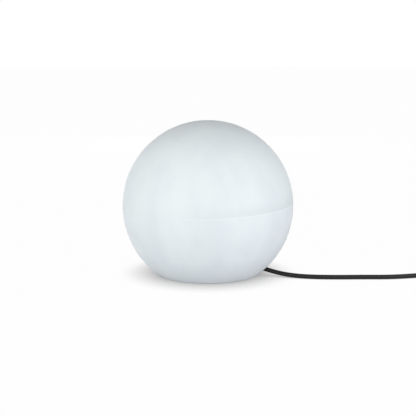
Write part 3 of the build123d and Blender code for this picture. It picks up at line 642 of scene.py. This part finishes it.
FINISHES: dict[str, object] = {
    "globe_plastic": GlobeSkin(),
    "carrier_plastic": Moulded(
        (0.022, 0.022, 0.024), (0.03, 0.03, 0.032), 0.55, grain=0.35 * MM, depth=0.012 * MM
    ),
    "foam_rubber": Foam((0.03, 0.03, 0.032)),
    "black_rubber": Moulded(
        (0.018, 0.018, 0.019), (0.026, 0.026, 0.027), 0.68, grain=0.25 * MM, depth=0.008 * MM,
        specular=0.35, drift_size=12 * MM,
    ),
    "stainless_steel": Metal(
        (0.62, 0.61, 0.59), (0.5, 0.5, 0.49), 0.28, thread=Thread(0.8 * MM, 45 * MM, 27 * MM)
    ),
    "zinc_steel": Metal((0.62, 0.64, 0.67), (0.5, 0.52, 0.52), 0.38, Making.PLATED),
    "brass": Metal((0.75, 0.55, 0.24), (0.58, 0.4, 0.17), 0.28),
    "nickel_brass": Metal((0.68, 0.65, 0.59), (0.55, 0.52, 0.46), 0.2, Making.ROLLED),
    "holder_plastic": Moulded(
        (0.02, 0.02, 0.021), (0.026, 0.026, 0.027), 0.33, grain=0.6 * MM, depth=0.004 * MM
    ),
    "ceramic": Moulded(
        (0.78, 0.76, 0.7), (0.72, 0.7, 0.63), 0.22, grain=1.2 * MM, depth=0.006 * MM, drift_size=8 * MM
    ),
    "gland_plastic": Moulded(
        (0.024, 0.024, 0.026), (0.032, 0.032, 0.034), 0.45, grain=0.4 * MM, depth=0.006 * MM
    ),
    "core_brown": Moulded((0.16, 0.062, 0.03), (0.12, 0.045, 0.022), 0.38, drift_size=9 * MM),
    "core_blue": Moulded((0.03, 0.1, 0.42), (0.022, 0.075, 0.33), 0.38, drift_size=9 * MM),
    "cord_rubber": Moulded(
        (0.003, 0.003, 0.0033), (0.0055, 0.0055, 0.006), 0.42, drift_size=18 * MM, grain=0.4 * MM,
        depth=0.002 * MM, spread=0.03, specular=0.24, edge=0.0,
    ),
    "silicone": Moulded((0.5, 0.1, 0.055), (0.42, 0.08, 0.045), 0.5, drift_size=7 * MM, bleed=0.2),
    "cap_metal": Metal((0.78, 0.78, 0.77), (0.64, 0.64, 0.62), 0.24, Making.TURNED),
    "cap_glass": Moulded((0.012, 0.012, 0.014), (0.018, 0.018, 0.02), 0.08, grain=2 * MM),
    "lamp_plastic": Moulded(
        (0.83, 0.83, 0.81), (0.79, 0.79, 0.77), 0.3, grain=0.8 * MM, depth=0.003 * MM, bleed=0.15
    ),
    "lamp_diffuser": Moulded(
        (0.87, 0.87, 0.85), (0.85, 0.85, 0.83), 0.42, grain=0.5 * MM, depth=0.002 * MM, bleed=0.4,
        reach=WHITE_BLEED,
    ),
    "board_metal": Moulded((0.82, 0.82, 0.82), (0.76, 0.76, 0.77), 0.4, drift_size=10 * MM),
    "led_phosphor": Moulded((0.86, 0.6, 0.08), (0.8, 0.5, 0.05), 0.35, drift_size=2 * MM, bleed=0.2),
    "circuit_board": CircuitBoard((0.015, 0.14, 0.04), (0.03, 0.24, 0.07)),
    "capacitor_sleeve": Moulded((0.02, 0.025, 0.06), (0.03, 0.035, 0.08), 0.25, drift_size=6 * MM),
    "tie_fabric": Webbing((0.008, 0.008, 0.009), (0.035, 0.035, 0.037)),
    "pin_metal": Metal((0.72, 0.7, 0.64), (0.6, 0.57, 0.5), 0.16, Making.TURNED),
}


@dataclass
class Wardrobe:
    """Makes each finish once, and dresses the pieces in them."""

    made: dict[str, bpy.types.Material] = field(default_factory=dict)

    def finish(self, slot: str) -> bpy.types.Material:
        """Finds a slot's material, and makes it the first time.

        Args:
            slot: the record's slot.

        Returns:
            The material.
        """
        if slot not in self.made:
            self.made[slot] = FINISHES[slot].material(slot)
        return self.made[slot]

    def dress_node(self, node: str, slot: str) -> None:
        """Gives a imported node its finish.

        Args:
            node: the node's name.
            slot: the record's slot.
        """
        piece = frame["nodes"][node]
        for holder in piece.material_slots:
            holder.material = self.finish(slot)
        log.info("%s: %s", node, slot)

    def dress_piece(self, piece: bpy.types.Object, slot: str, body: str) -> None:
        """Gives a new piece its finish and the body it rides on.

        Args:
            piece: the new piece.
            slot: the record's slot.
            body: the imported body.
        """
        piece.data.materials.append(self.finish(slot))
        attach(piece, body)
        log.info("%s: %s, on %s", piece.name, slot, body)


def link(name: str, data: bpy.types.ID) -> bpy.types.Object:
    """Puts new data into the scene as an object at the origin.

    Args:
        name: the object's name.
        data: its mesh, curve, light or camera data.

    Returns:
        The object.
    """
    made = bpy.data.objects.new(name, data)
    bpy.context.scene.collection.objects.link(made)
    return made


def mesh_piece(name: str, work: bmesh.types.BMesh) -> bpy.types.Object:
    """Ends a bmesh as a smooth-shaded piece.

    Args:
        name: the piece's name.
        work: its bmesh, which is freed.

    Returns:
        The piece.
    """
    bmesh.ops.recalc_face_normals(work, faces=work.faces)
    for face in work.faces:
        face.smooth = True
    mesh = bpy.data.meshes.new(name)
    work.to_mesh(mesh)
    work.free()
    return link(name, mesh)


# The cord outside the globe


@dataclass
class PowerCord:
    """The rubber cord: its free stretch, its coil and the tail that the plug is on.

    Its diameter and length are metres. Its other sizes, and the points of its route, are millimetres.
    """

    diameter: float = 7.8 * MM
    length: float = 2.858
    azimuth: float = -16.0
    exit_reach: float = 67.5
    exit_run: float = 24.5
    exit_height: float = 15.0
    coil_centre: tuple[float, float] = (442.0, 14.0)
    coil_radius: float = 54.0
    coil_pitch: float = 8.5
    coil_floor: float = 5.05
    half_turns: int = 4
    layers: int = 4
    steps: int = 12
    roundness: int = 10
    smoothness: int = 8
    plug_height: float = 17.0
    plug_heading: float = 99.0
    tail_reach: float = 88.0
    tail_shift: float = 8.0
    tail_run: float = 26.0

    def exit_point(self, run: float = 0.0) -> Vector:
        """Finds a point on the cord's straight way out.

        Args:
            run: how far beyond the exit it lies, in millimetres.

        Returns:
            The point, in millimetres.
        """
        turn = math.radians(self.azimuth)
        reach = self.exit_reach + run
        return Vector((reach * math.cos(turn), reach * math.sin(turn), self.exit_height))

    def free_route(self) -> list[Vector]:
        """Lays the stretch from the gland to the coil as in the picture.

        Returns:
            Its points, in millimetres.
        """
        low = self.diameter / MM / 2
        across, along = self.coil_centre
        entry = Vector((across - 2 * low, along - self.coil_radius, self.coil_floor))
        return [
            self.exit_point(),
            self.exit_point(self.exit_run),
            Vector((119, -33.8, 6.6)),
            Vector((146, -44.5, low)),
            Vector((176, -55.0, low)),
            Vector((218, -58.2, low)),
            Vector((268, -56.3, low)),
            Vector((312, -57.0, low)),
            Vector((352, -48.5, low)),
            Vector((392, entry.y, entry.z)),
            entry,
        ]

    def coil_turns(self) -> list[Vector]:
        """Winds the coil: half circles that run in and out again, and climb a layer where they reverse.

        Returns:
            Its points, in millimetres.
        """
        points: list[Vector] = []
        last = self.layers * self.half_turns
        swell = 1 / math.cos(math.pi / (2 * self.steps))
        radius, centre, level = self.coil_radius, 0.0, self.coil_floor
        for k in range(last + 1):
            inset = self.half_turns - abs(self.half_turns - k % (2 * self.half_turns))
            side = 1 if k % 2 == 0 else -1
            smaller = self.coil_radius - inset * self.coil_pitch / 2
            centre += side * (radius - smaller)
            radius = smaller
            rise = self.coil_pitch if 0 < k < last and k % self.half_turns == 0 else 0.0
            count = self.steps // 2 if k == last else self.steps
            for step in range(count):
                angle = math.pi * (step + 0.5) / self.steps
                out = side * radius * swell
                height = level + rise * (1 - math.cos(angle)) / 2
                points.append(Vector((centre + out * math.cos(angle), out * math.sin(angle), height)))
            level += rise
        turned = Matrix.Rotation(-math.pi / 2, 3, "Z")
        shift = Vector((*self.coil_centre, 0.0))
        return [turned @ point + shift for point in points]

    def tail_route(self) -> list[Vector]:
        """Lays the short end from the coil to the plug.

        Returns:
            Its points, in millimetres.
        """
        across, along = self.coil_centre
        top = self.coil_floor + (self.layers - 1) * self.coil_pitch
        start = Vector((across + self.coil_radius, along + self.diameter / MM, top))
        heading = math.radians(self.plug_heading)
        end = Vector((start.x - self.tail_shift, start.y + self.tail_reach, self.plug_height))
        way = Vector((math.cos(heading), math.sin(heading), 0.0))
        return [start, start + Vector((0, self.tail_run, 0)), end - way * self.tail_run, end]

    def build(self) -> bpy.types.Object:
        """Lays the whole cord as one smooth curve.

        Returns:
            The cord.
        """
        curve = bpy.data.curves.new("power_cord_run", "CURVE")
        curve.dimensions = "3D"
        curve.bevel_depth = self.diameter / 2
        curve.bevel_resolution = self.roundness
        curve.resolution_u = self.smoothness
        curve.use_fill_caps = True
        spline = curve.splines.new("NURBS")
        points = self.free_route() + self.coil_turns() + self.tail_route()
        spline.points.add(len(points) - 1)
        for place, point in zip(spline.points, points):
            place.co = (*(point * MM), 1.0)
        spline.order_u = 3
        spline.use_endpoint_u = True
        spline.use_smooth = True
        return link("power_cord_run", curve)


@dataclass
class CordTie:
    """The strap round the coil's turns, with its end folded over on top. Its sizes are millimetres."""

    middle: Point = (397.14, 14.0, 17.8)
    width: float = 12.0
    inner: tuple[float, float] = (18.2, 33.8)
    thickness: float = 0.9
    corner: float = 3.4
    end_length: float = 13.0
    end_gap: float = 1.45
    end_round: float = 0.9
    end_taper: float = 12.0
    nip: float = 0.5
    layer_pitch: float = 8.5
    soft_edge: float = 0.3

    def loop(self, work: bmesh.types.BMesh) -> list[bmesh.types.BMEdge]:
        """Draws the strap's inner line round the turns.

        Args:
            work: the bmesh that it is drawn in.

        Returns:
            The line's edges.
        """
        drawn = bmesh.ops.create_circle(work, segments=4, radius=math.sqrt(0.5))
        corners = drawn["verts"]
        upright = Matrix.Rotation(math.pi / 2, 3, "X") @ Matrix.Rotation(math.pi / 4, 3, "Z")
        bmesh.ops.rotate(work, verts=corners, matrix=upright)
        bmesh.ops.scale(work, verts=corners, vec=(self.inner[0], 1.0, self.inner[1]))
        bmesh.ops.bevel(
            work,
            geom=corners,
            offset=self.corner,
            segments=8,
            profile=0.5,
            affect="VERTICES",
            material=-1,
        )
        sides = [edge for edge in work.edges if edge.calc_length() > self.corner]
        bmesh.ops.subdivide_edges(work, edges=sides, cuts=15)
        return list(work.edges)

    def band(self) -> bpy.types.Object:
        """Builds the strap: its loop drawn out to its width, nipped in between the layers of cord.

        Returns:
            The piece.
        """
        work = bmesh.new()
        drawn = bmesh.ops.extrude_edge_only(work, edges=self.loop(work))
        moved = [item for item in drawn["geom"] if isinstance(item, bmesh.types.BMVert)]
        bmesh.ops.translate(work, verts=moved, vec=(0.0, self.width, 0.0))
        bmesh.ops.translate(work, verts=work.verts, vec=(0.0, -self.width / 2, 0.0))
        across = [edge for edge in work.edges if self.span(edge) > self.width / 2]
        bmesh.ops.subdivide_edges(work, edges=across, cuts=5)
        self.draw_in(work)
        bmesh.ops.translate(work, verts=work.verts, vec=self.middle)
        bmesh.ops.scale(work, verts=work.verts, vec=(MM, MM, MM))
        return self.strap("cord_tie_band", work)

    @staticmethod
    def span(edge: bmesh.types.BMEdge) -> float:
        """How far an edge runs across the strap."""
        first, second = edge.verts
        return abs(first.co.y - second.co.y)

    def draw_in(self, work: bmesh.types.BMesh) -> None:
        """Pulls the strap in where it bridges two layers of cord.

        Args:
            work: the strap's surface, centred on the origin.
        """
        for vert in work.verts:
            share = math.cos(2 * math.pi * vert.co.z / self.layer_pitch)
            if abs(vert.co.z) < self.inner[1] / 2 - self.corner:
                vert.co.x -= math.copysign(self.nip * (0.5 + 0.5 * share), vert.co.x) * 0.5

    def fold(self) -> bpy.types.Object:
        """Builds the loose end that lies pressed on top of the loop.

        Returns:
            The piece.
        """
        work = bmesh.new()
        bmesh.ops.create_grid(work, x_segments=26, y_segments=10, size=0.5)
        bmesh.ops.scale(work, verts=work.verts, vec=(self.end_length, self.width, 1.0))
        top = self.middle[2] + self.inner[1] / 2 + self.end_gap * self.thickness
        for vert in work.verts:
            along = vert.co.x / self.end_length + 0.5
            if along > self.end_round:
                vert.co.y *= 1 - (along - self.end_round) ** 2 * self.end_taper
        bmesh.ops.translate(work, verts=work.verts, vec=(self.middle[0], self.middle[1], top))
        bmesh.ops.scale(work, verts=work.verts, vec=(MM, MM, MM))
        return self.strap("cord_tie_end", work)

    def strap(self, name: str, work: bmesh.types.BMesh) -> bpy.types.Object:
        """Gives a strap surface its thickness and soft edges.

        Args:
            name: the piece's name.
            work: the surface.

        Returns:
            The piece.
        """
        piece = mesh_piece(name, work)
        wall = piece.modifiers.new("wall", "SOLIDIFY")
        wall.thickness = self.thickness * MM
        wall.offset = 1.0 if name.endswith("band") else 0.0
        soft = piece.modifiers.new("soft edge", "BEVEL")
        soft.width = self.soft_edge * MM
        soft.segments = 2
        soft.limit_method = "ANGLE"
        return piece


# The studio


@dataclass(frozen=True)
class SoftBox:
    """One large lamp, aimed at the globe."""

    name: str
    place: Point
    size: float
    watts: float
    colour: Colour = WHITE
    mirrored: bool = True

    def hang(self, target: Vector) -> bpy.types.Object:
        """Hangs the lamp and turns it to a target.

        Args:
            target: the point that it faces.

        Returns:
            The lamp.
        """
        data = bpy.data.lights.new(self.name, "AREA")
        data.shape = "DISK"
        data.size = self.size
        data.energy = self.watts
        data.color = self.colour
        lamp = link(self.name, data)
        lamp.location = self.place
        lamp.visible_camera = False
        lamp.visible_glossy = self.mirrored
        lamp.rotation_euler = (target - lamp.location).to_track_quat("-Z", "Y").to_euler()
        return lamp


@dataclass
class Studio:
    """Floor, backdrop, lamps and camera."""

    camera_place: Point = (0.0, -1.7421, 0.4039)
    camera_tilt: float = 80.593
    lens: float = 86.54
    sensor: float = 36.0
    floor_size: float = 30.0
    floor_tone: Colour = (0.73, 0.73, 0.74)
    floor_grain: Colour = (0.75, 0.75, 0.755)
    # painted contact shadow: a darker floor colour, shown to the camera where the occlusion node finds the
    # floor hemmed in within shade_reach, and lifted towards white as it opens up
    floor_shaded: Colour = (0.36, 0.355, 0.35)
    shade_reach: float = 0.075
    shade_full: float = -0.04
    shade_none: float = 0.78
    lift_least: float = 0.22
    lift_most: float = 0.985
    fill: float = 0.1
    target: Point = (0.0, 0.0, 0.12)
    lamps: tuple[SoftBox, ...] = (
        SoftBox("front right lamp", (1.7, -2.0, 0.9), 1.4, 25.9),
        SoftBox("left lamp", (-2.4, -0.3, 0.8), 1.4, 21.2),
        SoftBox("front left lamp", (-1.7, -2.0, 0.9), 1.4, 18.4, (0.985, 1.0, 0.975)),
        SoftBox("front lamp", (0.0, -2.6, 0.5), 1.6, 14.8),
        SoftBox("right lamp", (2.4, -0.3, 0.8), 1.4, 13.0, (0.965, 0.975, 1.0)),
        SoftBox("front top lamp", (0.5, -1.6, 2.1), 0.9, 4.6),
        SoftBox("top lamp", (1.8, 0.2, 2.0), 1.4, 1.6),
        SoftBox("back left lamp", (-1.6, 1.8, 1.2), 1.4, 2.8),
        SoftBox("back lamp", (0.0, 2.6, 0.3), 0.55, 26.0, mirrored=False),
    )

    def lay_floor(self) -> bpy.types.Object:
        """Lays the pale floor.

        Returns:
            The floor.
        """
        work = bmesh.new()
        bmesh.ops.create_grid(work, x_segments=8, y_segments=8, size=self.floor_size / 2)
        floor = mesh_piece("floor", work)
        floor.data.materials.append(self.floor_finish())
        return floor

    def floor_finish(self) -> bpy.types.Material:
        """Makes a pale matt floor that is seen white in the open, with a painted contact shadow where the
        occlusion node finds it hemmed in, over a darker copy of the floor that still takes the lamps'
        shadows.

        Returns:
            The material.
        """
        graph = Graph("studio_floor")
        grain = graph.noise(graph.place(), 40 * MM, detail=2.0)
        tone = graph.blend(grain, self.floor_tone, self.floor_grain)
        matt = graph.node("ShaderNodeBsdfDiffuse", inputs={"Color": tone})
        # painted shade: a darker copy of the floor, still lit by the lamps
        painted_shade_floor = graph.node("ShaderNodeBsdfDiffuse", inputs={"Color": self.floor_shaded})
        glow = graph.node("ShaderNodeEmission", inputs={"Color": WHITE, "Strength": 1.0})
        rays = graph.node("ShaderNodeLightPath", output="Is Camera Ray")
        mirrored = Value(graph, rays.source.node.outputs["Is Glossy Ray"])
        passed = Value(graph, rays.source.node.outputs["Is Transmission Ray"])
        shown = (rays + mirrored + passed).math("MINIMUM", 1.0)
        reach = {"Distance": self.shade_reach}
        # painted contact shadow: the ambient occlusion, not the lamps, sets how far the floor is lifted to
        # white
        openness = graph.node("ShaderNodeAmbientOcclusion", {"samples": 16}, reach, output="AO")
        lift = openness.between(self.shade_full, self.shade_none) * (self.lift_most - self.lift_least)
        white = graph.node("ShaderNodeMixShader", inputs={0: lift + self.lift_least, 1: painted_shade_floor, 2: glow})
        mixed = graph.node("ShaderNodeMixShader", inputs={0: shown, 1: matt, 2: white})
        graph.tree.links.new(mixed.source, graph.output.inputs["Surface"])
        return graph.material

    def light_world(self) -> None:
        """Lights the whole room faintly, and shows it white to the camera and to gloss and glass."""
        world = bpy.data.worlds.new("studio")
        bpy.context.scene.world = world
        world.use_nodes = True
        tree = world.node_tree
        tree.nodes.clear()
        backdrops = []
        for strength in (self.fill, 1.0):
            backdrop = tree.nodes.new("ShaderNodeBackground")
            backdrop.inputs["Color"].default_value = (*WHITE, 1.0)
            backdrop.inputs["Strength"].default_value = strength
            backdrops.append(backdrop)
        path = tree.nodes.new("ShaderNodeLightPath")
        shown = path.outputs["Is Camera Ray"]
        for ray in ("Is Glossy Ray", "Is Transmission Ray"):
            either = tree.nodes.new("ShaderNodeMath")
            either.operation = "MAXIMUM"
            tree.links.new(shown, either.inputs[0])
            tree.links.new(path.outputs[ray], either.inputs[1])
            shown = either.outputs[0]
        mixed = tree.nodes.new("ShaderNodeMixShader")
        output = tree.nodes.new("ShaderNodeOutputWorld")
        tree.links.new(shown, mixed.inputs[0])
        tree.links.new(backdrops[0].outputs[0], mixed.inputs[1])
        tree.links.new(backdrops[1].outputs[0], mixed.inputs[2])
        tree.links.new(mixed.outputs[0], output.inputs["Surface"])

    def set_camera(self) -> None:
        """Stands the camera where the picture was taken from."""
        data = bpy.data.cameras.new("camera")
        data.lens = self.lens
        data.sensor_width = self.sensor
        camera = link("camera", data)
        camera.location = self.camera_place
        camera.rotation_euler = (math.radians(self.camera_tilt), 0.0, 0.0)
        bpy.context.scene.camera = camera

    def build(self) -> None:
        """Sets up the whole studio."""
        self.set_camera()
        self.light_world()
        self.lay_floor()
        for lamp in self.lamps:
            lamp.hang(Vector(self.target))
        bpy.context.scene.view_settings.view_transform = "Standard"


def lay_cord(wardrobe: Wardrobe) -> None:
    """Lays the cord and its tie, and says what they are.

    Args:
        wardrobe: the finishes.
    """
    cord = PowerCord()
    run = cord.build()
    wardrobe.dress_piece(run, "cord_rubber", "base_unit")
    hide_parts("power_cord", "cord_coil", "plug_tail")
    tie = CordTie()
    band, end = tie.band(), tie.fold()
    for piece in (band, end):
        wardrobe.dress_piece(piece, "tie_fabric", "base_unit")
    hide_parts("cord_tie")


def main() -> None:
    """Builds the studio, the cord and the finishes, in that order."""
    logging.basicConfig(level=logging.INFO, format="%(name)s: %(message)s")
    Studio().build()
    wardrobe = Wardrobe()
    lay_cord(wardrobe)
    for part in frame["record"]["subparts"]:
        wardrobe.dress_node(part["node"], part["material_slot"])


if __name__ == "__main__":
    main()
